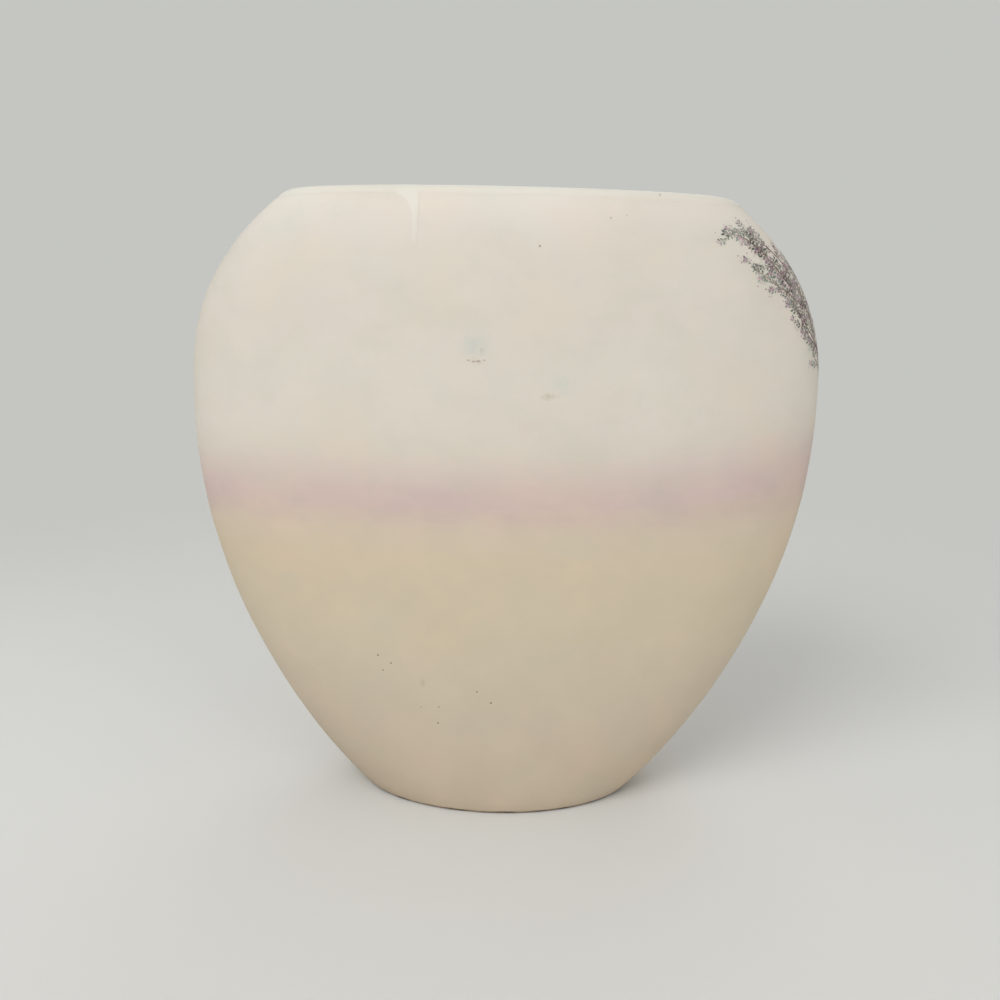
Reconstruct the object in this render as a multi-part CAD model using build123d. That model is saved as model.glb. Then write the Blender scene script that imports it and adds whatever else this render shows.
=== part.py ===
# Pillow vase: a flattened ceramic vase with broad shoulders and a small oval foot.
# Two curved walls are luted together along their side edges, stand on a foot slab and carry a lip ring.
# Frame: +Z up from the surface it stands on, X across the broad face, -Y towards the side with the
# glaze run, and the origin under the middle of the foot. All sizes are in millimetres.

import math
import os

from build123d import *

# Overall form
belly_width = 260.0
belly_depth = 84.0
height = 252.5
widest_height = 167.0
deepest_height = 139.0
foot_width = 116.0
foot_depth = 68.0
mouth_width = 178.0
mouth_depth = 44.0

# How the outline swells between the foot, the belly and the mouth
flare_power = 2.0
flare_fullness_share = 0.9
shoulder_power = 2.7
depth_fullness_share = 1.0
depth_shoulder_power = 2.2
section_count = 20
slope_probe = 0.25

# Clay walls and the lapped joints between them
wall = 5.0
lap_length = 4.0
lap_clearance = 0.15

# Foot slab
foot_flange = 4.0
foot_step = 3.0
foot_recess = 1.5
foot_ring_width = 8.0
foot_edge_radius = 1.2

# Lip ring
lip_height = 6.0
lip_outer_radius = 2.0
lip_inner_radius = 1.6

# Glaze coat inside and over the lip, and the drip of it that ran down the front
glaze = 0.5
glaze_gap = 0.05
roll_over = 3.5
run_thickness = 0.7
run_offset = 34.2
run_width = 10.0
run_shank_width = 2.6
run_flare_height = 9.5
run_length = 19.5

# How far a cutting solid passes the clay
overrun = 4.0

clay_top = height - glaze - glaze_gap
rim_base = height - lip_height
floor_top = foot_flange + foot_step


def swell(z, foot, belly, mouth, belly_height, fullness_share, shoulder):
    """Half-size of the vase at height z, from the foot through the belly to the mouth."""
    if z < belly_height:
        rise = 1 - (1 - z / belly_height) ** flare_power
        return foot + (belly - foot) * rise**fullness_share
    climb = (z - belly_height) / (height - belly_height)
    return belly - (belly - mouth) * climb**shoulder


def half_width(z):
    halves = foot_width / 2, belly_width / 2, mouth_width / 2
    return swell(z, *halves, widest_height, flare_fullness_share, shoulder_power)


def half_depth(z):
    halves = foot_depth / 2, belly_depth / 2, mouth_depth / 2
    return swell(z, *halves, deepest_height, depth_fullness_share, depth_shoulder_power)


def slant(outline, z):
    """Ratio of a leaning wall's level thickness to its thickness square to the clay."""
    low = max(z - slope_probe, 0)
    high = z + slope_probe
    return math.hypot(1, (outline(high) - outline(low)) / (high - low))


def form(inset):
    """Solid with the vase's outline drawn in by inset, from the foot to just past the mouth."""
    top = height + overrun
    sections = []
    for step in range(section_count + 1):
        z = top * (1 - math.cos(math.pi * step / section_count)) / 2
        across = half_width(z) - inset * slant(half_width, z)
        through = half_depth(z) - inset * slant(half_depth, z)
        sections.append(Pos(0, 0, z) * Ellipse(across, through))
    return loft(sections)


def between(low, high, near=-belly_depth, far=belly_depth):
    """Block that keeps what lies between two heights and, if given, between two planes along Y."""
    size = Vector(2 * belly_width, far - near, high - low)
    return Pos(0, near, low) * Box(*size, align=(Align.CENTER, Align.MIN, Align.MIN))


outer = form(0)
inner = form(wall)
rebate = form(wall / 2)
tongue = form(wall / 2 + lap_clearance)
clay = outer - inner
inner_half = tongue - inner


def front_wall():
    """Half shell at -Y, with a tongue along both side edges and a rebate under the lip ring."""
    shell = clay & between(foot_flange, rim_base, far=0)
    shell -= rebate & between(rim_base - lap_length, rim_base + overrun)
    lap = inner_half & between(foot_flange, rim_base - lap_length, near=0, far=lap_length)
    return shell + lap


def back_wall():
    """Half shell at +Y, with a rebate that takes the front wall's tongue."""
    shell = clay & between(foot_flange, rim_base, near=0)
    shell -= rebate & between(rim_base - lap_length, rim_base + overrun)
    return shell - (rebate & between(0, rim_base, near=-overrun, far=lap_length + lap_clearance))


def base_slab():
    """Foot slab: a flange that carries the walls, a step that sits inside them and a hollowed underside."""
    flange = outer & between(-overrun, foot_flange)
    flange = fillet(flange.edges().filter_by_position(Axis.Z, 0, 0), foot_edge_radius)
    step = form(wall + lap_clearance) & between(foot_flange, floor_top)
    hollow = Ellipse(foot_width / 2 - foot_ring_width, foot_depth / 2 - foot_ring_width)
    return flange + step - extrude(hollow, foot_recess)


def lip(coat):
    """The ring of the lip with its rounded edges, grown by coat on every side."""
    top = clay_top + coat
    ring = (form(-coat) - form(wall + coat)) & between(rim_base, top)
    outer_edge = ring.edges().filter_by_position(Axis.Z, top, top).sort_by(SortBy.LENGTH)[-1]
    ring = fillet(outer_edge, lip_outer_radius + coat)
    inner_edge = ring.edges().filter_by_position(Axis.Z, top, top).sort_by(SortBy.LENGTH)[0]
    return fillet(inner_edge, lip_inner_radius + coat)


def mouth_rim():
    """Lip ring with rounded edges, and a skirt that sits in the walls' rebate."""
    skirt = inner_half & between(rim_base - lap_length, rim_base)
    return lip(0) + skirt


def glaze_lining():
    """Glaze coat over the floor and the inside of the walls, rolled over the lip."""
    coat = form(wall + glaze_gap) & between(floor_top + glaze_gap, rim_base)
    coat -= form(wall + glaze_gap + glaze) & between(floor_top + glaze_gap + glaze, height)
    roll = lip(glaze_gap + glaze) - lip(glaze_gap)
    return coat + (roll - (between(0, height - roll_over) - rebate))


def glaze_run():
    """Drip of glaze on the front: broad under the lip, then a narrow straight run with a round tip."""
    top = height - roll_over
    tip = top - run_length
    right = -run_offset
    left = right - run_shank_width
    shank_end = tip + run_shank_width
    flare_end = top - run_flare_height
    edge = Line((right, top), (right, shank_end))
    edge += ThreePointArc((right, shank_end), ((left + right) / 2, tip), (left, shank_end))
    edge += Line((left, shank_end), (left, flare_end))
    edge += TangentArc((left, flare_end), (right - run_width, top), tangent=(0, 1))
    edge += Line((right - run_width, top), (right, top))
    drip = extrude(Plane.XZ * make_face(edge), belly_depth)
    return (form(-run_thickness) - form(-glaze_gap)) & drip


nodes = {
    "front_wall": front_wall(),
    "back_wall": back_wall(),
    "base_slab": base_slab(),
    "mouth_rim": mouth_rim(),
    "glaze_lining": glaze_lining(),
    "glaze_run": glaze_run(),
}
os.makedirs("parts", exist_ok=True)
for name, solid in nodes.items():
    export_step(solid, f"parts/{name}.step")
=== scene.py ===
# Pillow vase: the looks of a flattened clay vase with broad shoulders, a level mouth and a small oval foot.
# Its walls, foot, lip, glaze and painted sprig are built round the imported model, in metres and in its frame:
# +Z up, X across the broad face, -Y towards the side with the glaze run.

import math
import random

import bpy
import numpy as np
from mathutils import Matrix, Vector


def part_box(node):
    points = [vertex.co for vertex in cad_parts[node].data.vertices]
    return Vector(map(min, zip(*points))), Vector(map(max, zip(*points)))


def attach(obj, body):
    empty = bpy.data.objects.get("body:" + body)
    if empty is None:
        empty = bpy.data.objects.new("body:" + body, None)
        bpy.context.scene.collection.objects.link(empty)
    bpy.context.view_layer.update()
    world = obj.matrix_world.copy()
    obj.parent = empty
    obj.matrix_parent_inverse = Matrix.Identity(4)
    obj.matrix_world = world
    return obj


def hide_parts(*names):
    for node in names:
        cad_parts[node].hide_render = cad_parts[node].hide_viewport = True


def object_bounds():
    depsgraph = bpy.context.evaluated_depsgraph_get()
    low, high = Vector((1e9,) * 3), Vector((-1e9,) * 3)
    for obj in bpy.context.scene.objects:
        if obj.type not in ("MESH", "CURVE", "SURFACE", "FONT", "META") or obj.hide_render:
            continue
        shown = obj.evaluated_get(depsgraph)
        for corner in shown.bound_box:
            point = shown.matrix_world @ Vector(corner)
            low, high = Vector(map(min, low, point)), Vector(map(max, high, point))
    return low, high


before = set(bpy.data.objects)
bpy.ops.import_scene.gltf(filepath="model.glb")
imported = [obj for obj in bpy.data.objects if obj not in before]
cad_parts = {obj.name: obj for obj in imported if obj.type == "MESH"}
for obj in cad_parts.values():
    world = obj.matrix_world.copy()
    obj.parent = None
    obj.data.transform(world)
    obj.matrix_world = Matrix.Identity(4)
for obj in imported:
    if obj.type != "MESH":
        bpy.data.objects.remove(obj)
cad_low, cad_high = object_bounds()

MM = 0.001

# Outline of the clay body
belly_width, belly_depth, height = cad_high - cad_low
widest_height = 167 * MM
deepest_height = 139 * MM
foot_width = 116 * MM
foot_depth = 68 * MM
mouth_width = 178 * MM
mouth_depth = 44 * MM
flare_power = 2.0
flare_fullness_share = 0.9
shoulder_power = 2.7
depth_fullness_share = 1.0
depth_shoulder_power = 2.2

# Steps up and round the vase over which its slopes are measured, in metres and radians
slope_probe = 0.25 * MM
turn_probe = 0.001

# Clay walls and the lapped joints between them
wall = 5 * MM
lap_length = 4 * MM
lap_clearance = 0.15 * MM
rim_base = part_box("front_wall")[1].z
foot_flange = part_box("front_wall")[0].z
floor_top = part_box("base_slab")[1].z

# Foot slab
foot_recess = 1.5 * MM
foot_ring_width = 8 * MM
foot_edge = 1.2 * MM

# Lip and the glaze on it: how far it reaches down outside, how thin and wavy it is there, and how far it
# hides the clay's colour
glaze = 0.5 * MM
glaze_gap = 0.05 * MM
lip_outer_radius = 2 * MM
lip_inner_radius = 1.6 * MM
roll_over = 3.5 * MM
roll_edge = 0.06 * MM
roll_wave = 0.45 * MM
roll_wave_counts = (3, 7, 11, 17)
roll_cover = 0.2
floor_bend = 3 * MM
clay_top = height - glaze - glaze_gap

# Glaze run down the front: how far its middle hides the clay's colour, the power with which that fades
# towards its sides, and the length over which it fades towards its tip
run_offset = 34.2 * MM
run_width = 10 * MM
run_shank_width = 2.6 * MM
run_flare_height = 9.5 * MM
run_length = 19.5 * MM
run_thickness = 0.13 * MM
run_edge = 0.03 * MM
run_cover = 0.45
run_fade_power = 4
run_fade = 15 * MM
run_top = height - roll_over
run_tip = run_top - run_length

# How far the skin of the clay lies inside the outline, and its hand-finished unevenness
skin_inset = 0.02 * MM
ripple_depth = 0.16 * MM
ripple_count = 14
ripple_lengths = (24 * MM, 80 * MM)

# Fineness of the meshes
turn_count = 320
row_count = 150
lap_rows = 4
lap_columns = 4
foot_rows = 5
bend_rows = 6
first_column = 0.15 * MM
crease_angle = math.radians(35)
run_columns = 12
run_rows = 60

random.seed(17)


def swell(z, foot, belly, mouth, belly_height, fullness_share, shoulder):
    """Half-size of the vase at height z, from the foot through the belly to the mouth."""
    rise = 1 - (1 - np.clip(z / belly_height, 0, 1)) ** flare_power
    climb = np.clip((z - belly_height) / (height - belly_height), 0, None)
    return foot + (belly - foot) * rise**fullness_share - (belly - mouth) * climb**shoulder


def half_width(z):
    halves = foot_width / 2, belly_width / 2, mouth_width / 2
    return swell(z, *halves, widest_height, flare_fullness_share, shoulder_power)


def half_depth(z):
    halves = foot_depth / 2, belly_depth / 2, mouth_depth / 2
    return swell(z, *halves, deepest_height, depth_fullness_share, depth_shoulder_power)


def inset_half(outline, z, inset):
    """Half-size at height z of the outline drawn in by inset, measured square to the leaning wall."""
    low = np.maximum(z - slope_probe, 0)
    high = z + slope_probe
    slope = (outline(high) - outline(low)) / (high - low)
    return outline(z) - inset * np.hypot(1, slope)


def skin(turn, z, inset=0.0):
    """Points of the vase's skin at an angle round it from +X and a height, drawn in by inset."""
    turn, z, inset = np.broadcast_arrays(turn, z, inset)
    across = inset_half(half_width, z, inset)
    through = inset_half(half_depth, z, inset)
    return np.stack([across * np.cos(turn), through * np.sin(turn), z], axis=-1)


def ripple_waves():
    """Wave vectors and phases of the slow swells that a hand-finished surface keeps."""
    vectors = []
    phases = []
    for _ in range(ripple_count):
        heading = Vector([random.gauss(0, 1) for _ in range(3)]).normalized()
        vectors.append(heading * 2 * math.pi / random.uniform(*ripple_lengths))
        phases.append(random.uniform(0, 2 * math.pi))
    return np.array(vectors), np.array(phases)


wave_vectors, wave_phases = ripple_waves()


def dent(turn, z):
    """Depth of the clay's outer skin inside the outline, with its slow unevenness."""
    waves = np.sin(skin(turn, z) @ wave_vectors.T + wave_phases)
    swing = np.tanh(waves.sum(axis=-1) / math.sqrt(ripple_count / 2))
    return skin_inset + ripple_depth * (1 + swing) / 2


def rounded(before, corner, after):
    """Points of a smooth bend from one point to another round a corner."""
    bend = []
    for step in range(bend_rows + 1):
        share = step / bend_rows
        weights = (1 - share) ** 2, 2 * share * (1 - share), share**2
        weighted = list(zip(weights, (before, corner, after)))
        bend.append(tuple(sum(weight * point[axis] for weight, point in weighted) for axis in (0, 1)))
    return bend


def block_mesh(points, filled):
    """Vertices and faces round the filled cells of a bent grid."""
    index = np.arange(points[..., 0].size).reshape(points.shape[:3])
    padded = np.pad(filled, 1)
    inside = (slice(1, -1),) * 3
    faces = []
    for axis in range(3):
        for side in (0, 1):
            beyond = np.roll(padded, 1 - 2 * side, axis=axis)[inside]
            cells = np.argwhere(filled & ~beyond)
            corners = []
            for first, second in ((0, 0), (1, 0), (1, 1), (0, 1)):
                shift = np.zeros(3, int)
                shift[axis] = side
                shift[(axis + 1) % 3] = first
                shift[(axis + 2) % 3] = second
                corners.append(index[tuple((cells + shift).T)])
            quads = np.stack(corners, axis=1)
            faces.append(quads if side else quads[:, ::-1])
    used, faces = np.unique(np.concatenate(faces), return_inverse=True)
    return points.reshape(-1, points.shape[-1])[used], faces.reshape(-1, 4).tolist()


def ring_mesh(rings, closed=False):
    """Vertices and faces of a stack of rings round the vase. A closed stack joins its last ring to its
    first, and an open one starts and ends in a single point."""
    starts = np.cumsum([0] + [len(ring) for ring in rings])
    faces = []
    pairs = list(zip(range(len(rings) - 1), range(1, len(rings))))
    if closed:
        pairs.append((len(rings) - 1, 0))
    for upper, lower in pairs:
        for step in range(turn_count):
            following = (step + 1) % turn_count
            face = []
            for ring, place in ((upper, step), (lower, step), (lower, following), (upper, following)):
                corner = int(starts[ring]) + (place if len(rings[ring]) > 1 else 0)
                if corner not in face:
                    face.append(corner)
            faces.append(face)
    return np.concatenate(rings), faces


def piece(name, mesh_data, material, slot, *nodes, cover=None):
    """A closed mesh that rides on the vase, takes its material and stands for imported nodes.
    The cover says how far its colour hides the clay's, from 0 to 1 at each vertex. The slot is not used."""
    vertices, faces = mesh_data
    mesh = bpy.data.meshes.new(name)
    mesh.from_pydata([tuple(vertex) for vertex in vertices], [], faces)
    mesh.shade_smooth()
    mesh.set_sharp_from_angle(angle=crease_angle)
    mesh.materials.append(material)
    mesh.update()
    if cover is not None:
        mesh.attributes.new("cover", "FLOAT", "POINT").data.foreach_set("value", cover)
    made = bpy.data.objects.new(name, mesh)
    bpy.context.scene.collection.objects.link(made)
    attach(made, "root")
    if nodes:
        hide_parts(*nodes)


def wall_grid(edge_levels, facing):
    """Grid of a half shell: columns from joint to joint, rows up the vase and three layers through the wall.
    The columns next to the joints lie at levels measured from the joint plane."""
    z = np.concatenate([
        np.linspace(foot_flange, rim_base - lap_length, row_count),
        np.linspace(rim_base - lap_length, rim_base, lap_rows + 1)[1:],
    ])
    layers = []
    for inset in (wall, wall / 2, 0):
        through = inset_half(half_depth, z, inset)
        ends = [np.arcsin(level / through) for level in edge_levels]
        shares = np.linspace(0, 1, turn_count // 2)[1:-1, None]
        middle = ends[-1] + (math.pi - 2 * ends[-1]) * shares
        turns = np.concatenate([ends, middle, [math.pi - end for end in reversed(ends)]]) + facing
        depth = dent(turns, z) if inset == 0 else inset
        layers.append(skin(turns, z, depth))
    return np.stack(layers, axis=2)


def front_wall():
    """Half shell at -Y: its inner half passes both joints as a tongue and ends below the lip's skirt."""
    points = wall_grid((-lap_length, 0, first_column), math.pi)
    filled = np.ones([count - 1 for count in points.shape[:3]], bool)
    filled[[0, -1], :, 1] = False
    filled[:, -lap_rows:, 0] = False
    return block_mesh(points, filled)


def back_wall():
    """Half shell at +Y: its inner half ends short of both joints, where the front wall's tongue lies."""
    reach = lap_length + lap_clearance
    levels = (0, first_column) + tuple(reach * step / lap_columns for step in range(1, lap_columns + 1))
    points = wall_grid(levels, 0)
    filled = np.ones([count - 1 for count in points.shape[:3]], bool)
    filled[: len(levels) - 1, :, 0] = False
    filled[1 - len(levels):, :, 0] = False
    filled[:, -lap_rows:, 0] = False
    return block_mesh(points, filled)


turns = np.linspace(0, 2 * math.pi, turn_count, endpoint=False)


def section_rings(profile):
    """Rings of a profile of insets and heights. They share the outer skin's unevenness, the more the nearer
    they are to it."""
    rings = []
    for inset, z in profile:
        share = np.clip(1 - inset / wall, 0, 1)
        rings.append(skin(turns, z, inset + share * dent(turns, z)))
    return rings


def base_slab():
    """Foot slab with its step inside the walls, a soft outer edge, a flat ring to stand on and a hollow."""
    step_inset = wall + lap_clearance
    outer = [(0, z) for z in np.linspace(foot_flange, foot_edge, foot_rows)]
    edge = rounded((0, foot_edge), (0, 0), (foot_edge, 0))[1:]
    profile = [(step_inset, floor_top), (step_inset, foot_flange)] + outer + edge
    rings = [np.array([[0, 0, floor_top]])] + section_rings(profile)
    ring_edge = foot_ring_width - foot_edge
    for inset, z in rounded((ring_edge, 0), (foot_ring_width, 0), (foot_ring_width, foot_recess)):
        across = foot_width / 2 - inset
        through = foot_depth / 2 - inset
        level = np.full(turn_count, z)
        rings.append(np.stack([across * np.cos(turns), through * np.sin(turns), level], axis=1))
    rings.append(np.array([[0, 0, foot_recess]]))
    return ring_mesh(rings)


def lip_bends(coat):
    """Inner and outer bends over the top of the lip, for its clay or for a coat of glaze over it."""
    top = clay_top + coat
    near = wall + coat
    low = top - lip_inner_radius - coat
    far = near - lip_inner_radius - coat
    inner = rounded((near, low), (near, top), (far, top))
    outer = rounded((lip_outer_radius, top), (-coat, top), (-coat, top - lip_outer_radius - coat))
    return inner, outer


def mouth_rim():
    """Lip ring with rounded edges, and the skirt that sits in the walls' rebate."""
    inner, outer = lip_bends(0)
    skirt = wall / 2 + lap_clearance
    rise = [(wall, z) for z in np.linspace(rim_base - lap_length, inner[0][1], lap_rows)[:-1]]
    fall = [(0, z) for z in np.linspace(outer[-1][1], rim_base, lap_rows)[1:]]
    profile = rise + inner + outer + fall + [(skirt, rim_base), (skirt, rim_base - lap_length)]
    return ring_mesh(section_rings(profile), closed=True)


def along_run(z):
    """Left and right edges of the glaze run at height z."""
    right = -run_offset
    left = right - run_shank_width
    rise = np.clip(z - (run_top - run_flare_height), 0, None)
    spread = run_width - run_shank_width
    radius = (spread**2 + run_flare_height**2) / (2 * spread)
    flare = radius - np.sqrt(radius**2 - rise**2)
    round_off = run_shank_width / 2
    below = np.clip((run_tip + round_off - z) / round_off, 0, 1)
    narrowing = round_off * (1 - np.sqrt(1 - below**2))
    return left - flare + narrowing, right - narrowing


def run_covering(across):
    """How far the run hides the clay at a share of its half-width from its middle."""
    return run_cover * np.clip(1 - across**run_fade_power, 0, 1)


roll_waves = [(count, random.uniform(0, 2 * math.pi)) for count in roll_wave_counts]


def roll_end(turn):
    """Height of the lower edge of the glaze on the outside of the lip, wavy except where the run starts."""
    x = half_width(run_top) * np.cos(turn)
    left, right = along_run(run_top)
    off_run = np.clip(np.abs(x - (left + right) / 2) / run_width - 0.5, 0, 1)
    calm = np.where(np.sin(turn) < 0, off_run, 1)
    wave = sum(np.sin(turn * count + phase) for count, phase in roll_waves) / len(roll_waves)
    return run_top + calm * roll_wave * wave


def glaze_lining():
    """Glaze over the floor and the inside of the walls, rolled over the lip to a thin uneven edge outside,
    with its cover: full inside and on top, and fading into the clay's colour towards that edge."""
    coat = glaze_gap + glaze
    near = wall + coat
    low = floor_top + coat
    inner = lip_bends(coat)[0]
    outer_end = clay_top - lip_outer_radius
    outer = rounded((lip_outer_radius, height), (-roll_edge, height), (-roll_edge, outer_end))
    floor = rounded((near + floor_bend, low), (near, low), (near, low + floor_bend))
    rise = [(near, z) for z in np.linspace(floor[-1][1], inner[0][1], row_count // 2)[1:-1]]
    rings = [np.array([[0, 0, low]])] + section_rings(floor + rise + inner)
    cover = [np.ones(len(ring)) for ring in rings]
    rings += section_rings(outer)
    end = roll_end(turns)
    left, right = along_run(run_top)
    from_run = (half_width(end) * np.cos(turns) - (left + right) / 2) / ((right - left) / 2)
    at_run = np.where(np.sin(turns) < 0, run_covering(from_run), 0)
    lip_cover = np.maximum(roll_cover, at_run)
    cover += [lip_cover + (1 - lip_cover) * share**2 for share in np.linspace(1, 0, len(outer))]
    for share in np.linspace(0, 1, lap_rows + 1)[1:]:
        z = outer_end + (end - outer_end) * share
        rings.append(skin(turns, z, dent(turns, z) - roll_edge))
        cover.append(np.maximum(roll_cover * (1 - share), at_run))
    rings.append(skin(turns, end, dent(turns, end) - glaze_gap))
    under_inner, under_outer = lip_bends(glaze_gap)
    under = list(reversed(under_inner + under_outer))
    floor_under = floor_top + glaze_gap
    drop = [(wall + glaze_gap, z) for z in np.linspace(under[-1][1], floor_under, row_count // 2)[1:]]
    rings += section_rings(under + drop) + [np.array([[0, 0, floor_under]])]
    cover += [np.zeros(len(ring)) for ring in rings[len(cover):]]
    return ring_mesh(rings), np.concatenate(cover)


def glaze_run():
    """Drip of glaze down the front: broad under the lip, then a narrow shank with a round tip. Its cover
    fades towards its edges and its tip."""
    down = np.linspace(0, 1, run_rows + 1)
    z = run_top - run_length * np.sin(down * math.pi / 2)
    left, right = along_run(z)
    bead = np.sin(math.pi * np.clip((run_top - z) / run_length, 0, 1))
    crown = roll_edge + (run_thickness - roll_edge) * bead
    across = np.linspace(-1, 1, run_columns + 1)[:, None]
    x = (left + right) / 2 + across * np.maximum((right - left) / 2, run_edge)
    turn = -np.arccos(x / half_width(z))
    arch = np.sqrt(np.clip(1 - across**2, 0, 1))
    dome = run_edge + (crown - run_edge) * arch
    dome = np.minimum(dome, run_edge + np.maximum(z - run_tip, 0))
    seat = dent(turn, z) - glaze_gap / 2
    points = np.stack([skin(turn, z, seat), skin(turn, z, seat - dome)], axis=2)
    cover = run_covering(across) * np.clip((z - run_tip) / run_fade, 0, 1)
    cover = np.broadcast_to(cover[..., None, None], points.shape[:3] + (1,))
    points = np.concatenate([points, cover], axis=3)[:, ::-1]
    vertices, faces = block_mesh(points, np.ones((run_columns, run_rows, 1), bool))
    return (vertices[:, :3], faces), vertices[:, 3]


# Painted sprig: stems with the angle and height of their foot, their first heading, their bend and their
# length. A heading of 0 runs level towards growing angles, which is to the right on the front, and 90 runs
# up. All angles of the sprig are in degrees.
sprig_stems = (
    (-4, 183 * MM, 98, 30, 46 * MM),
    (-9, 192 * MM, 122, 30, 36 * MM),
    (-12, 203 * MM, 104, 40, 34 * MM),
    (-21, 218 * MM, 132, 30, 30 * MM),
    (-17, 223 * MM, 108, 26, 28 * MM),
    (-26, 230 * MM, 140, 30, 20 * MM),
    (-7, 186 * MM, 150, -46, 15 * MM),
    (-11, 195 * MM, 152, -30, 30 * MM),
    (-17, 211 * MM, 146, 24, 28 * MM),
    (0, 188 * MM, 86, 18, 50 * MM),
    (6, 185 * MM, 78, -36, 44 * MM),
    (13, 201 * MM, 56, -40, 32 * MM),
)

# Stems and the twigs along them, each as wide at its start and its end as its two widths
stem_step = 0.7 * MM
stem_widths = (0.9 * MM, 0.3 * MM)
stem_jitter = 3
twig_spacing = 4.2 * MM
twig_widths = (0.32 * MM, 0.16 * MM)
twig_lengths = (3.5 * MM, 9 * MM)
twig_spread = (30, 62)
twig_bend = 28

# Leaves, with how far along its own length from the twig a leaf's middle lies
leaf_spacing = 1.4 * MM
leaf_lengths = (1.1 * MM, 2.5 * MM)
leaf_width_share = 0.5
leaf_reach_share = 0.55
leaf_spread = (24, 70)

# Blossoms with a dark heart, and the buds strewn about them
blossoming_share = 0.7
petal_count = 5
petal_length = 1 * MM
petal_width = 0.75 * MM
petal_reach = 0.62 * MM
heart_radius = 0.34 * MM
bud_counts = (5, 12)
bud_radii = (0.26 * MM, 0.5 * MM)
bud_scatter = 1.9 * MM

# Thin washes about the twigs
wash_counts = (9, 16)
wash_radii = (0.7 * MM, 1.3 * MM)
wash_scatter = 1.4 * MM
wash_strengths = (0.12, 0.3)
wash_lift = 0.005 * MM

# Body of the paint: how far a mark stands off the clay, the height of its crown over its flat underside,
# the share of that at which its edge lies, and the corners of a dab
paint_lift = 0.03 * MM
paint_crown = 0.03 * MM
paint_edge_share = 0.5
dab_points = 10


def skin_steps(turn, z):
    """Matrix that turns metres along the skin, level and rising, into steps of angle and height."""
    by_turn = (skin(turn + turn_probe, z) - skin(turn - turn_probe, z)) / (2 * turn_probe)
    by_height = (skin(turn, z + slope_probe) - skin(turn, z - slope_probe)) / (2 * slope_probe)
    level = by_turn / np.linalg.norm(by_turn)
    outward = np.cross(level, by_height)
    rising = np.cross(outward / np.linalg.norm(outward), level)
    return np.linalg.pinv(np.stack([by_turn, by_height], axis=1)) @ np.stack([level, rising], axis=1)


def painted_points(turn, z, offsets, lifts):
    """Points on the clay round a place, at offsets along the skin and lifted off it."""
    steps = np.asarray(offsets) @ skin_steps(turn, z).T
    turns_there = turn + steps[:, 0]
    heights = z + steps[:, 1]
    return skin(turns_there, heights, dent(turns_there, heights) - lifts)


class Paint:
    """Brush marks of one colour, gathered into one mesh with a cover that fades to each mark's edge."""

    def __init__(self):
        self.vertices = []
        self.faces = []
        self.cover = []

    def add(self, points, faces, cover):
        start = len(self.vertices)
        self.vertices += list(points)
        self.faces += [[start + corner for corner in face] for face in faces]
        self.cover += cover

    def dab(self, turn, z, heading, length, width, strength=1, lift=paint_lift):
        """An oval or round mark centred on a place: a rim with a low crown over it and a flat below. Its
        strength is its cover at the middle."""
        around = np.linspace(0, 2 * math.pi, dab_points, endpoint=False)
        along = length / 2 * np.cos(around)
        across = width / 2 * np.sin(around)
        offsets = np.stack([
            along * math.cos(heading) - across * math.sin(heading),
            along * math.sin(heading) + across * math.cos(heading),
        ], axis=1)
        offsets = np.concatenate([offsets, np.zeros((2, 2))])
        lifts = np.array([paint_edge_share] * dab_points + [1, 0]) * paint_crown + lift
        crown = dab_points
        flat = crown + 1
        faces = []
        for corner in range(dab_points):
            following = (corner + 1) % dab_points
            faces += [(corner, following, crown), (following, corner, flat)]
        cover = [0] * dab_points + [strength, strength]
        self.add(painted_points(turn, z, offsets, lifts), faces, cover)

    def line(self, path, widths):
        """A tapering line along a path: two edges, a low crown and a flat below, closed at both ends."""
        points = []
        cover = []
        for place, (turn, z, heading) in enumerate(path):
            share = place / (len(path) - 1)
            width = widths[0] + (widths[1] - widths[0]) * share
            side = np.array([-math.sin(heading), math.cos(heading)]) * width / 2
            offsets = [side, -side, (0, 0), (0, 0)]
            lifts = np.array([paint_edge_share, paint_edge_share, 1, 0]) * paint_crown + paint_lift
            points += list(painted_points(turn, z, offsets, lifts))
            cover += [0, 0, 1, 1]
        faces = []
        for place in range(len(path) - 1):
            near = 4 * place
            far = near + 4
            for first, second in ((0, 3), (3, 1), (1, 2), (2, 0)):
                faces.append((near + first, far + first, far + second, near + second))
        last = 4 * (len(path) - 1)
        faces += [(0, 2, 1, 3), (last, last + 3, last + 1, last + 2)]
        self.add(points, faces, cover)

    def piece(self, name, material):
        piece(name, (self.vertices, self.faces), material, "painted_clay", cover=self.cover)


def moved(turn, z, heading, distance):
    """Place on the skin at a distance from another, along a heading."""
    step = skin_steps(turn, z) @ (distance * np.array([math.cos(heading), math.sin(heading)]))
    return turn + step[0], z + step[1]


def stem_path(turn, z, heading, bend, length):
    """Places and headings along a stem that bends steadily over the skin."""
    count = round(length / stem_step)
    path = []
    for _ in range(count + 1):
        path.append((turn, z, heading))
        turn, z = moved(turn, z, heading, stem_step)
        heading += bend / count + math.radians(random.gauss(0, stem_jitter))
    return path


def paint_leaves(leaves, path):
    """Pairs of oval leaves along a twig."""
    for turn, z, heading in path[1 :: round(leaf_spacing / stem_step)]:
        for side in (-1, 1):
            slant = heading + side * math.radians(random.uniform(*leaf_spread))
            length = random.uniform(*leaf_lengths)
            middle = moved(turn, z, slant, length * leaf_reach_share)
            leaves.dab(*middle, slant, length, length * leaf_width_share)


def paint_blossom(blossoms, hearts, turn, z):
    """A round blossom of five petals about a dark heart."""
    first = random.uniform(0, 2 * math.pi)
    for petal in range(petal_count):
        heading = first + 2 * math.pi * petal / petal_count
        blossoms.dab(*moved(turn, z, heading, petal_reach), heading, petal_length, petal_width)
    hearts.dab(turn, z, 0, 2 * heart_radius, 2 * heart_radius)


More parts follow.
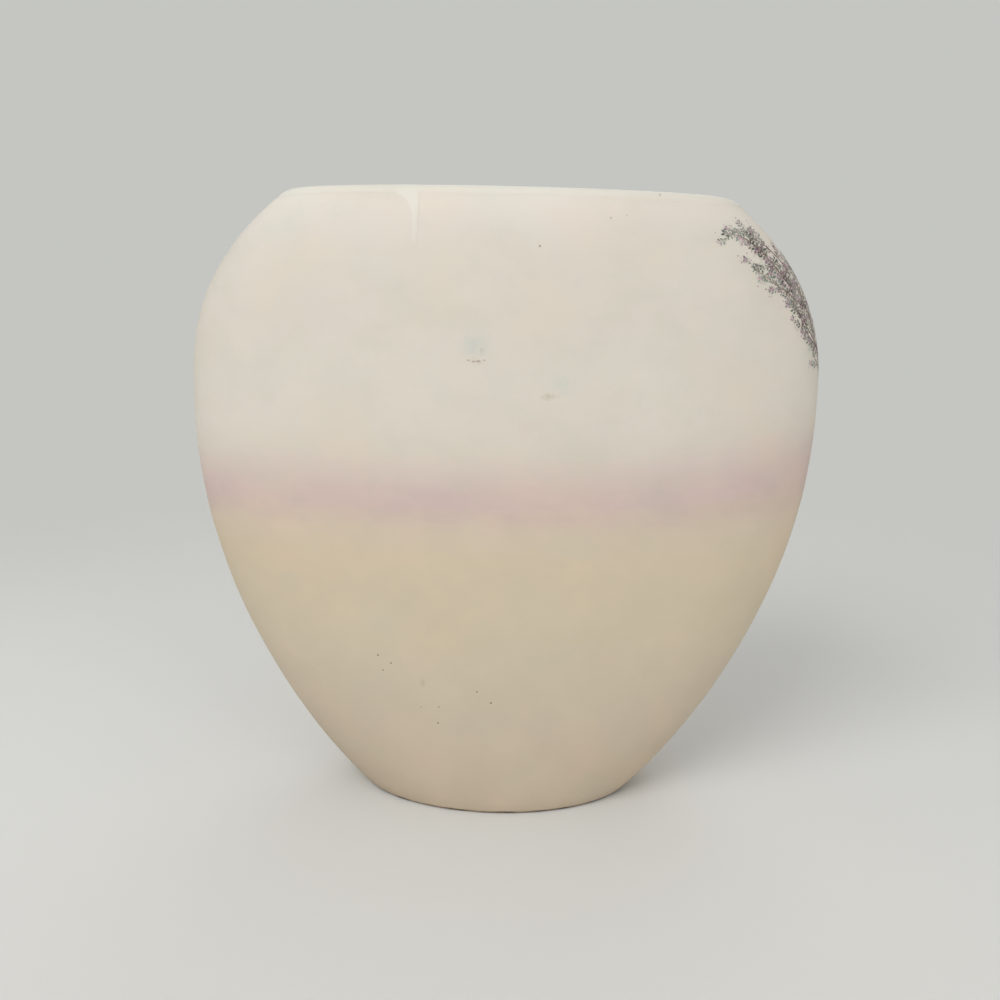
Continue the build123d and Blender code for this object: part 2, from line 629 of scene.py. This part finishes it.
def paint_wash(paint, path):
    """Thin watery dabs strewn about a twig, underneath its leaves and blossoms."""
    for _ in range(random.randint(*wash_counts)):
        turn, z, heading = random.choice(path)
        heading += random.uniform(0, 2 * math.pi)
        dab = moved(turn, z, heading, abs(random.gauss(0, wash_scatter)))
        radius = random.uniform(*wash_radii)
        paint.dab(*dab, heading, 2 * radius, 2 * radius, random.uniform(*wash_strengths), wash_lift)


def painted_sprig(leaf_paint, blossom_paint, stem_paint):
    """A generic sprig on the right shoulder, on the front and round the edge on the back: rising stems with
    short leafy twigs that end in blossoms and buds."""
    leaves = Paint()
    blossoms = Paint()
    stems = Paint()
    side = 1
    for turn_degrees, z, heading, bend, length in sprig_stems:
        stem = stem_path(math.radians(turn_degrees), z, math.radians(heading), math.radians(bend), length)
        stems.line(stem, stem_widths)
        paint_leaves(leaves, stem[len(stem) // 2 :])
        for turn, z, heading in stem[:: round(twig_spacing / stem_step)]:
            side = -side
            slant = heading + side * math.radians(random.uniform(*twig_spread))
            twig = stem_path(turn, z, slant, -side * math.radians(twig_bend), random.uniform(*twig_lengths))
            stems.line(twig, twig_widths)
            paint_leaves(leaves, twig)
            paint_wash(leaves, twig)
            paint_wash(blossoms, twig[len(twig) // 2 :])
            turn, z, heading = twig[-1]
            if random.random() < blossoming_share:
                paint_blossom(blossoms, stems, turn, z)
            for _ in range(random.randint(*bud_counts)):
                radius = random.uniform(*bud_radii)
                heading = random.uniform(0, 2 * math.pi)
                bud = moved(turn, z, heading, abs(random.gauss(0, bud_scatter)))
                blossoms.dab(*bud, 0, 2 * radius, 2 * radius)
    leaves.piece("sprig_leaves", leaf_paint)
    blossoms.piece("sprig_blossoms", blossom_paint)
    stems.piece("sprig_stems", stem_paint)


def linear(red, green, blue):
    """A material's colour from one written as on a screen, from 0 to 255."""
    colour = []
    for value in (red, green, blue):
        share = value / 255
        colour.append(share / 12.92 if share <= 0.04045 else ((share + 0.055) / 1.055) ** 2.4)
    return colour + [1]


class Graph:
    """Nodes of one material or group, added in a line or two each."""

    def __init__(self, tree):
        self.tree = tree

    def put(self, socket, value):
        if isinstance(value, bpy.types.NodeSocket):
            self.tree.links.new(value, socket)
        else:
            socket.default_value = value

    def add(self, kind, sockets=(), **settings):
        """A node with its settings, and with a value or another node's output on each named socket."""
        node = self.tree.nodes.new("ShaderNode" + kind)
        for name, value in settings.items():
            setattr(node, name, value)
        for name, value in dict(sockets).items():
            self.put(node.inputs[name], value)
        return node

    def math(self, operation, first, second=0.0, third=0.0):
        node = self.add("Math", operation=operation)
        for socket, value in zip(node.inputs, (first, second, third)):
            self.put(socket, value)
        return node.outputs[0]

    def mix(self, share, first, second, blend="MIX"):
        """A blend of two colours. The node has sockets of the same names for other kinds of value, so its
        colour sockets are taken by their places."""
        node = self.add("Mix", data_type="RGBA", blend_type=blend)
        for place, value in ((0, share), (6, first), (7, second)):
            self.put(node.inputs[place], value)
        return node.outputs[2]

    def noise(self, where, scale, detail, roughness=0.5):
        sockets = {"Vector": where, "Scale": scale, "Detail": detail, "Roughness": roughness}
        return self.add("TexNoise", sockets).outputs["Fac"]

    def swing(self, value, reach):
        """A value from 0 to 1 turned into one that swings by half of reach to either side of 0."""
        return self.math("MULTIPLY_ADD", value, reach, -reach / 2)

    def stretch(self, where, scale):
        """Coordinates scaled on each axis."""
        node = self.add("VectorMath", {"Vector": where}, operation="MULTIPLY")
        node.inputs[1].default_value = scale
        return node.outputs[0]

    def fade(self, value, low, high, to_low=0.0, to_high=1.0):
        """A smooth step from one level to another as a value goes from low to high."""
        sockets = {"Value": value, "From Min": low, "From Max": high, "To Min": to_low, "To Max": to_high}
        return self.add("MapRange", sockets, interpolation_type="SMOOTHSTEP").outputs[0]

    def ramp(self, value, stops):
        """A colour that follows a value through stops of place and colour."""
        node = self.add("ValToRGB", {"Fac": value})
        elements = node.color_ramp.elements
        for place, colour in stops[1:-1]:
            elements.new(place).color = colour
        for element, (place, colour) in zip((elements[0], elements[-1]), (stops[0], stops[-1])):
            element.position = place
            element.color = colour
        return node.outputs["Color"]


# Airbrushed colour of the clay: heights with the colours there, from the foot to the lip. The stops from
# 238 mm up grow lighter towards the lip as painted light from above, and the stop at the foot is darker,
# partly as painted shade where it meets the floor.
clay_bands_and_painted_light = (
    (0 * MM, (183, 168, 147)),
    (6 * MM, (192, 177, 157)),
    (20 * MM, (196, 181, 161)),
    (40 * MM, (198, 184, 165)),
    (60 * MM, (200, 187, 167)),
    (85 * MM, (202, 189, 166)),
    (112 * MM, (204, 189, 166)),
    (121 * MM, (204, 189, 170)),
    (127 * MM, (203, 186, 171)),
    (133 * MM, (204, 183, 176)),
    (139 * MM, (204, 186, 178)),
    (146 * MM, (207, 193, 184)),
    (153 * MM, (209, 201, 189)),
    (163 * MM, (211, 204, 193)),
    (180 * MM, (210, 204, 193)),
    (205 * MM, (209, 202, 191)),
    (228 * MM, (211, 205, 194)),
    (238 * MM, (215, 209, 200)),
    (246 * MM, (220, 214, 204)),
    (252.5 * MM, (222, 217, 207)),
)

# Noises, here and below: fineness, detail and roughness. A stretch says how much finer a noise is along
# X, Y and Z, and levels are those between which a noise goes from none of its effect to all of it.

# How far the band's edges wander and streak to each side
band_wander = 1.8 * MM
wander_noise = (26, 3)
band_streak = 1.6 * MM
streak_noise = (1, 3)
streak_stretch = (18, 18, 420)

# The band's upper part rises towards the right end and sinks a little towards the left: the heights between
# which that sets in, and the places across between which each rise grows, with its full height
band_rise_heights = (108 * MM, 155 * MM)
band_rises = (
    (25 * MM, 130 * MM, 12 * MM),
    (-95 * MM, -130 * MM, -3 * MM),
)

# Greyer blotches in the lower half of the band, with the heights between which they set in, coming from
# below and from above
blotch_noise = (34, 4, 0.6)
blotch_stretch = (1, 1, 2)
blotch_levels = (0.44, 0.66)
blotch_from_below = (121 * MM, 128 * MM)
blotch_from_above = (143 * MM, 134 * MM)
blotch_colour = (193, 174, 170)
blotch_strength = 0.45

# Warm and cool mottling, and clouds that lighten and darken it all a little
warm_noise = (24, 4, 0.6)
warm_levels = (0.45, 0.7)
warm_colour = (214, 186, 160)
cool_noise = (33, 4, 0.6)
cool_stretch = (1, 1, 1.4)
cool_levels = (0.48, 0.72)
cool_colour = (186, 190, 172)
mottle_strength = 0.16
cloud_noise = (48, 5, 0.6)
cloud_levels = (0.3, 0.7)
cloud_shares = (0.98, 1.02)

# Depth from the joint plane over which the marks of the front set in
front_fade = belly_depth / 8

# Soft marks on the front: place across and up, half-sizes, colour and strength. A mark sets in between the
# two distances of its edge, in half-sizes from its middle, which a noise shifts by half of its reach to
# either side.
ragged_noise = (520, 4, 0.7)
ragged_reach = 1.9
soft_mark_edge = (1.0, -0.1)
soft_marks = (
    (-11.8, 193.5, 7.6, 6.0, (184, 190, 188), 0.4),
    (-9.3, 191.5, 1.3, 2.2, (172, 166, 158), 0.4),
    (-11.3, 187.4, 5.2, 1.6, (190, 176, 160), 0.4),
    (16.2, 175.1, 4.4, 1.7, (172, 162, 140), 0.6),
    (20.6, 179.8, 7.4, 6.2, (188, 194, 186), 0.36),
    (-30.4, 59.3, 1.6, 3.4, (170, 158, 132), 0.45),
    (8, 163, 7, 5, (208, 190, 178), 0.3),
    (42, 71, 14, 9, (196, 176, 154), 0.25),
)

# Small specks on the front, told in the same way
frayed_noise = (2200, 2, 0.6)
frayed_reach = 1.2
speck_edge = (1.0, 0.3)
specks = (
    (-14.1, 187.8, 0.9, 0.5, (164, 146, 130), 0.7),
    (-12.2, 187.4, 0.8, 0.5, (160, 142, 126), 0.7),
    (-10.4, 187.6, 1.2, 0.5, (154, 134, 118), 0.75),
    (-8.2, 188.0, 0.8, 0.4, (166, 148, 132), 0.7),
    (-48.7, 70.0, 0.45, 0.55, (110, 92, 78), 0.9),
    (-43.4, 67.0, 0.5, 0.5, (100, 82, 68), 0.9),
    (-46.7, 63.6, 0.4, 0.5, (120, 102, 86), 0.9),
    (-8.6, 56.7, 0.5, 0.5, (110, 92, 78), 0.8),
    (-2.9, 52.0, 0.5, 0.5, (96, 78, 64), 0.9),
    (-23.9, 49.1, 0.45, 0.5, (124, 106, 90), 0.8),
    (-24.2, 41.7, 0.5, 0.5, (104, 86, 72), 0.9),
    (-31.2, 48.4, 0.4, 0.4, (130, 112, 96), 0.7),
    (11.5, 230.1, 0.55, 0.6, (140, 112, 84), 0.8),
    (38.0, 241.3, 0.45, 0.5, (146, 138, 126), 0.8),
    (44.1, 242.7, 0.45, 0.45, (156, 148, 136), 0.6),
    (57.0, 250.9, 0.6, 0.6, (120, 114, 100), 0.8),
)


def placed(graph, where, x, z, across, up):
    """Distance on the front from a mark's middle, in its half-sizes."""
    sockets = {
        "Vector": where,
        "Location": (-x / across, 0, -z / up),
        "Scale": (1 / (across * MM), 0, 1 / (up * MM)),
    }
    away = graph.add("Mapping", sockets).outputs[0]
    return graph.add("VectorMath", {0: away}, operation="LENGTH").outputs["Value"]


def marked(graph, where, front, colour, marks, edge, uneven):
    """The colour with marks of the front laid over it, with uneven edges."""
    for x, z, across, up, tint, strength in marks:
        distance = graph.math("ADD", placed(graph, where, x, z, across, up), uneven)
        mark = graph.math("MULTIPLY", graph.fade(distance, *edge, 0.0, strength), front)
        colour = graph.mix(mark, colour, linear(*tint))
    return colour


def clay_colour():
    """Node group with the clay's airbrushed colour, with painted light towards the lip and painted shade at
    the foot, mottling and small marks, by place on the vase.
    """
    tree = bpy.data.node_groups.new("clay_colour", "ShaderNodeTree")
    tree.interface.new_socket("Color", in_out="OUTPUT", socket_type="NodeSocketColor")
    graph = Graph(tree)
    where = graph.add("TexCoord").outputs["Object"]
    axes = graph.add("SeparateXYZ", {"Vector": where}).outputs
    wander = graph.swing(graph.noise(where, *wander_noise), 2 * band_wander)
    streaks = graph.swing(graph.noise(graph.stretch(where, streak_stretch), *streak_noise), 2 * band_streak)
    level = graph.math("ADD", graph.math("ADD", axes["Z"], wander), streaks)
    rising = graph.fade(axes["Z"], *band_rise_heights)
    for start, end, rise in band_rises:
        lift = graph.math("MULTIPLY", rising, graph.fade(axes["X"], start, end, 0.0, rise))
        level = graph.math("SUBTRACT", level, lift)
    # The stops carry painted light towards the lip and painted shade at the foot
    stops = [(z / height, linear(*colour)) for z, colour in clay_bands_and_painted_light]
    colour = graph.ramp(graph.math("DIVIDE", level, height), stops)
    blotch = graph.noise(graph.stretch(where, blotch_stretch), *blotch_noise)
    blotch = graph.fade(blotch, *blotch_levels, 0.0, blotch_strength)
    blotch = graph.math("MULTIPLY", blotch, graph.fade(level, *blotch_from_below))
    blotch = graph.math("MULTIPLY", blotch, graph.fade(level, *blotch_from_above))
    colour = graph.mix(blotch, colour, linear(*blotch_colour))
    warm = graph.noise(where, *warm_noise)
    colour = graph.mix(graph.fade(warm, *warm_levels, 0.0, mottle_strength), colour, linear(*warm_colour))
    cool = graph.noise(graph.stretch(where, cool_stretch), *cool_noise)
    colour = graph.mix(graph.fade(cool, *cool_levels, 0.0, mottle_strength), colour, linear(*cool_colour))
    cloud = graph.fade(graph.noise(where, *cloud_noise), *cloud_levels, *cloud_shares)
    colour = graph.mix(1.0, colour, cloud, "MULTIPLY")
    front = graph.fade(axes["Y"], 0.0, -front_fade)
    ragged = graph.swing(graph.noise(where, *ragged_noise), ragged_reach)
    frayed = graph.swing(graph.noise(where, *frayed_noise), frayed_reach)
    colour = marked(graph, where, front, colour, soft_marks, soft_mark_edge, ragged)
    colour = marked(graph, where, front, colour, specks, speck_edge, frayed)
    graph.put(tree.nodes.new("NodeGroupOutput").inputs["Color"], colour)
    return tree


# Dry clay: its gloss, how rough it is from spot to spot, and the depth of its fine grain and the level
# strokes in it, with the strokes' share of that
clay_gloss = 0.25
rough_levels = (0.3, 0.7)
clay_rough_noise = (90, 3)
clay_roughness = (0.74, 0.86)
grain_noise = (1400, 4, 0.7)
stroke_noise = (1, 3)
stroke_stretch = (60, 60, 900)
stroke_share = 0.4
grain_depth = 0.035 * MM

# Underside of the foot: bare clay in two shades, which gives way to the wall's colour between the heights of
# its edge, give or take a noise
bare_noise = (60, 5, 0.6)
bare_levels = (0.4, 0.65)
bare_colours = linear(196, 176, 148), linear(178, 158, 132)
bare_edge_noise = (160, 3)
bare_edge = (0.8 * foot_edge, 1.3 * foot_edge)
bare_rough_noise = (120, 3)
bare_roughness = (0.8, 0.92)
bare_grain_depth = 2 * grain_depth

# Grime about the foot's lower edge, darkened further as painted contact shade where the foot meets the
# floor, stronger in spots, which sets in from above between two heights
grime_and_shade_noise = (130, 5, 0.65)
grime_and_shade_levels = (0.36, 0.62)
grime_and_shade_strengths = (0.5, 0.95)
grime_and_shade_edge = (1.8 * foot_edge, 1.15 * foot_edge)
grime_and_shade_colour = linear(84, 66, 52)

# White glaze: its colour, plain and where it pools, its roughness, thin and thick, and the depth of its
# waves, with the share of that which its pits add
pool_noise = (28, 3)
pool_levels = (0.42, 0.68)
glaze_colours = linear(221, 219, 208), linear(208, 211, 198)
glaze_roughness = (0.75, 0.28)
glaze_wave_noise = (90, 2)
glaze_pit_noise = (700, 2)
glaze_pit_share = 0.15
glaze_depth = 0.12 * MM

# Paint of the sprig: its shades, the cover from which it hides the clay fully, and how strongly it stands
# where the brush ran dry and where it didn't
leaf_shades = linear(34, 50, 44), linear(136, 148, 136)
blossom_shades = linear(128, 90, 112), linear(192, 160, 176)
stem_shades = linear(84, 46, 44), linear(122, 80, 76)
shade_noise = (130, 4, 0.65)
shade_levels = (0.35, 0.65)
paint_roughness = 0.7
full_cover = 0.5
dry_noise = (1500, 2)
dry_levels = (0.25, 0.5)
dry_strengths = (0.45, 0.95)


def new_material(name, **finish):
    """A material with its graph and its shader, which has its even values set on its own sockets."""
    material = bpy.data.materials.new(name)
    material.use_nodes = True
    shader = material.node_tree.nodes["Principled BSDF"]
    for socket, value in finish.items():
        shader.inputs[socket.replace("_", " ")].default_value = value
    return material, Graph(material.node_tree), shader


def group_colour(graph, group):
    """The colour that a node group gives."""
    node = graph.tree.nodes.new("ShaderNodeGroup")
    node.node_tree = group
    return node.outputs["Color"]


def bump(graph, heights, distance):
    """A fine relief of the surface, as deep as distance where the heights span 0 to 1."""
    sockets = {"Height": heights, "Distance": distance, "Strength": 1.0}
    return graph.add("Bump", sockets).outputs["Normal"]


def clay_grain(graph, where):
    """Heights of the fine grain of fired clay, with the faint level strokes of the airbrush and sponge."""
    grain = graph.math("MULTIPLY", graph.noise(where, *grain_noise), 1 - stroke_share)
    strokes = graph.noise(graph.stretch(where, stroke_stretch), *stroke_noise)
    return graph.math("MULTIPLY_ADD", strokes, stroke_share, grain)


def painted_clay(colours):
    """Dry matt clay under airbrushed colour."""
    material, graph, shader = new_material("painted_clay", Specular_IOR_Level=clay_gloss)
    where = graph.add("TexCoord").outputs["Object"]
    rough = graph.fade(graph.noise(where, *clay_rough_noise), *rough_levels, *clay_roughness)
    graph.put(shader.inputs["Base Color"], group_colour(graph, colours))
    graph.put(shader.inputs["Roughness"], rough)
    graph.put(shader.inputs["Normal"], bump(graph, clay_grain(graph, where), grain_depth))
    return material


def bare_clay(colours):
    """Foot slab: the wall's colour on its side, bare fired clay underneath, and grime with painted contact
    shade where it stands.
    """
    material, graph, shader = new_material("bare_clay", Specular_IOR_Level=clay_gloss)
    where = graph.add("TexCoord").outputs["Object"]
    z = graph.add("SeparateXYZ", {"Vector": where}).outputs["Z"]
    bare = graph.mix(graph.fade(graph.noise(where, *bare_noise), *bare_levels), *bare_colours)
    uneven = graph.math("MULTIPLY_ADD", graph.noise(where, *bare_edge_noise), foot_edge, z)
    colour = graph.mix(graph.fade(uneven, *bare_edge), bare, group_colour(graph, colours))
    # Grime at the lowest edge, deepened into painted shade where the foot meets the floor
    grime_and_shade = graph.fade(graph.noise(where, *grime_and_shade_noise), *grime_and_shade_levels, *grime_and_shade_strengths)
    grime_and_shade = graph.math("MULTIPLY", grime_and_shade, graph.fade(uneven, *grime_and_shade_edge))
    rough = graph.fade(graph.noise(where, *bare_rough_noise), *rough_levels, *bare_roughness)
    graph.put(shader.inputs["Base Color"], graph.mix(grime_and_shade, colour, grime_and_shade_colour))
    graph.put(shader.inputs["Roughness"], rough)
    graph.put(shader.inputs["Normal"], bump(graph, clay_grain(graph, where), bare_grain_depth))
    return material


def white_glaze(colours):
    """Glossy white glaze, a little greener where it pools, and clear where it feathers out on the clay."""
    material, graph, shader = new_material("white_glaze")
    where = graph.add("TexCoord").outputs["Object"]
    cover = graph.add("Attribute", attribute_name="cover").outputs["Fac"]
    glass = graph.mix(graph.fade(graph.noise(where, *pool_noise), *pool_levels), *glaze_colours)
    waves = graph.noise(where, *glaze_wave_noise)
    heights = graph.math("MULTIPLY_ADD", graph.noise(where, *glaze_pit_noise), glaze_pit_share, waves)
    graph.put(shader.inputs["Base Color"], graph.mix(cover, group_colour(graph, colours), glass))
    graph.put(shader.inputs["Roughness"], graph.fade(cover, 0.0, 1.0, *glaze_roughness))
    graph.put(shader.inputs["Normal"], bump(graph, heights, glaze_depth))
    return material


def painted_mark(name, colours, shades):
    """Thin matt paint that varies between two shades, dry-brushed and fading into the clay at its edges."""
    material, graph, shader = new_material(name, Specular_IOR_Level=clay_gloss, Roughness=paint_roughness)
    where = graph.add("TexCoord").outputs["Object"]
    paint = graph.mix(graph.fade(graph.noise(where, *shade_noise), *shade_levels), *shades)
    cover = graph.fade(graph.add("Attribute", attribute_name="cover").outputs["Fac"], 0.0, full_cover)
    dry = graph.fade(graph.noise(where, *dry_noise), *dry_levels, *dry_strengths)
    cover = graph.math("MULTIPLY", cover, dry)
    graph.put(shader.inputs["Base Color"], graph.mix(cover, group_colour(graph, colours), paint))
    return material


# Stage: a round floor that sweeps up into a pale wall, and the plain colour that it fades to away from the
# vase, between two distances from it
stage_radius = 2.0
stage_bend = 0.8
stage_height = 2.2
stage_steps = 96
stage_bend_steps = 12
stage_colour = linear(221, 221, 218)
stage_roughness = 0.9
stage_gloss = 0.1
backdrop_colour = linear(197, 198, 194)
backdrop_distances = (0.3, 0.8)


def stage():
    """Pale floor with a round wall, joined by a wide bend. What the camera and reflections see far from the
    vase is the plain backdrop colour, while near it the floor keeps its shadows."""
    profile = [(0, 0), (stage_radius / 4, 0), (stage_radius, 0)]
    for step in range(1, stage_bend_steps + 1):
        angle = math.pi / 2 * step / stage_bend_steps
        profile.append((stage_radius + stage_bend * math.sin(angle), stage_bend * (1 - math.cos(angle))))
    profile.append((stage_radius + stage_bend, stage_height))
    vertices = []
    faces = []
    for ring, (radius, z) in enumerate(profile):
        for step in range(stage_steps):
            angle = 2 * math.pi * step / stage_steps
            vertices.append((radius * math.cos(angle), radius * math.sin(angle), z))
            if ring:
                here = ring * stage_steps
                inner = here - stage_steps
                following = (step + 1) % stage_steps
                faces.append((inner + step, inner + following, here + following, here + step))
    mesh = bpy.data.meshes.new("stage")
    mesh.from_pydata(vertices, [], faces)
    mesh.shade_smooth()
    material, graph, floor = new_material(
        "stage", Base_Color=stage_colour, Roughness=stage_roughness, Specular_IOR_Level=stage_gloss
    )
    away = graph.stretch(graph.add("TexCoord").outputs["Object"], (1, 1, 0))
    distance = graph.add("VectorMath", {0: away}, operation="LENGTH").outputs["Value"]
    rays = graph.add("LightPath").outputs
    seen = graph.math("MAXIMUM", rays["Is Camera Ray"], rays["Is Glossy Ray"])
    seen = graph.math("MAXIMUM", seen, rays["Is Transmission Ray"])
    plain = graph.math("MULTIPLY", seen, graph.fade(distance, *backdrop_distances))
    backdrop = graph.add("Emission", {"Color": backdrop_colour, "Strength": 1.0}).outputs[0]
    mixed = graph.add("MixShader", {0: plain, 1: floor.outputs[0], 2: backdrop}).outputs[0]
    graph.put(material.node_tree.nodes["Material Output"].inputs["Surface"], mixed)
    mesh.materials.append(material)
    made = bpy.data.objects.new("stage", mesh)
    bpy.context.scene.collection.objects.link(made)


# Soft lamps under an even sky, with their places, sizes and powers: a strong one high in front on the left,
# a fainter one low in front on the right, and a wide one behind
sky_strength = 0.56
lamp_aim = Vector((0, 0, 0.13))
lamps = (
    ("key", Vector((-0.75, -0.95, 1.05)), 0.9, 12.4),
    ("fill", Vector((0.9, -1.0, 0.35)), 0.6, 4.05),
    ("back", Vector((0.35, 1.25, 1.0)), 1.4, 4.6),
)


def lights():
    """The even white sky, and the lamps, all aimed at the middle of the vase."""
    world = bpy.data.worlds.new("studio")
    world.use_nodes = True
    background = world.node_tree.nodes["Background"]
    background.inputs["Color"].default_value = (1, 1, 1, 1)
    background.inputs["Strength"].default_value = sky_strength
    bpy.context.scene.world = world
    for name, place, size, power in lamps:
        lamp = bpy.data.lights.new(name, "AREA")
        lamp.size = size
        lamp.energy = power
        made = bpy.data.objects.new(name, lamp)
        made.location = place
        made.rotation_euler = (lamp_aim - place).to_track_quat("-Z", "Y").to_euler()
        bpy.context.scene.collection.objects.link(made)


# Camera, as the photograph was taken: slightly above, looking down, and rolled a little. Its focal length is
# given as a share of its sensor's width.
camera_place = Vector((-1.157, -358, 199.2)) * MM
camera_pitch = math.radians(11.32)
camera_roll = math.radians(1.35)
camera_sensor = 36
camera_focus_share = 0.85


def camera():
    """The camera, looking along +Y and down, with its right and up axes rolled about its line of sight."""
    right = Vector((1, 0, 0))
    up = Vector((0, math.sin(camera_pitch), math.cos(camera_pitch)))
    back = right.cross(up)
    rolled_right = right * math.cos(camera_roll) + up * math.sin(camera_roll)
    rolled_up = up * math.cos(camera_roll) - right * math.sin(camera_roll)
    data = bpy.data.cameras.new("camera")
    data.sensor_width = camera_sensor
    data.lens = camera_sensor * camera_focus_share
    made = bpy.data.objects.new("camera", data)
    axes = Matrix((rolled_right, rolled_up, back)).transposed().to_4x4()
    made.matrix_world = Matrix.Translation(camera_place) @ axes
    bpy.context.scene.collection.objects.link(made)
    bpy.context.scene.camera = made


colours = clay_colour()
painted = painted_clay(colours)
glossy = white_glaze(colours)
piece("front_shell", front_wall(), painted, "painted_clay", "front_wall")
piece("back_shell", back_wall(), painted, "painted_clay", "back_wall")
piece("foot", base_slab(), bare_clay(colours), "bare_clay", "base_slab")
piece("lip", mouth_rim(), painted, "painted_clay", "mouth_rim")
coat, coat_cover = glaze_lining()
piece("glaze_coat", coat, glossy, "white_glaze", "glaze_lining", cover=coat_cover)
drip, drip_cover = glaze_run()
piece("glaze_drip", drip, glossy, "white_glaze", "glaze_run", cover=drip_cover)
painted_sprig(
    painted_mark("leaf_paint", colours, leaf_shades),
    painted_mark("blossom_paint", colours, blossom_shades),
    painted_mark("stem_paint", colours, stem_shades),
)
stage()
lights()
camera()
bpy.context.scene.view_settings.view_transform = "Standard"
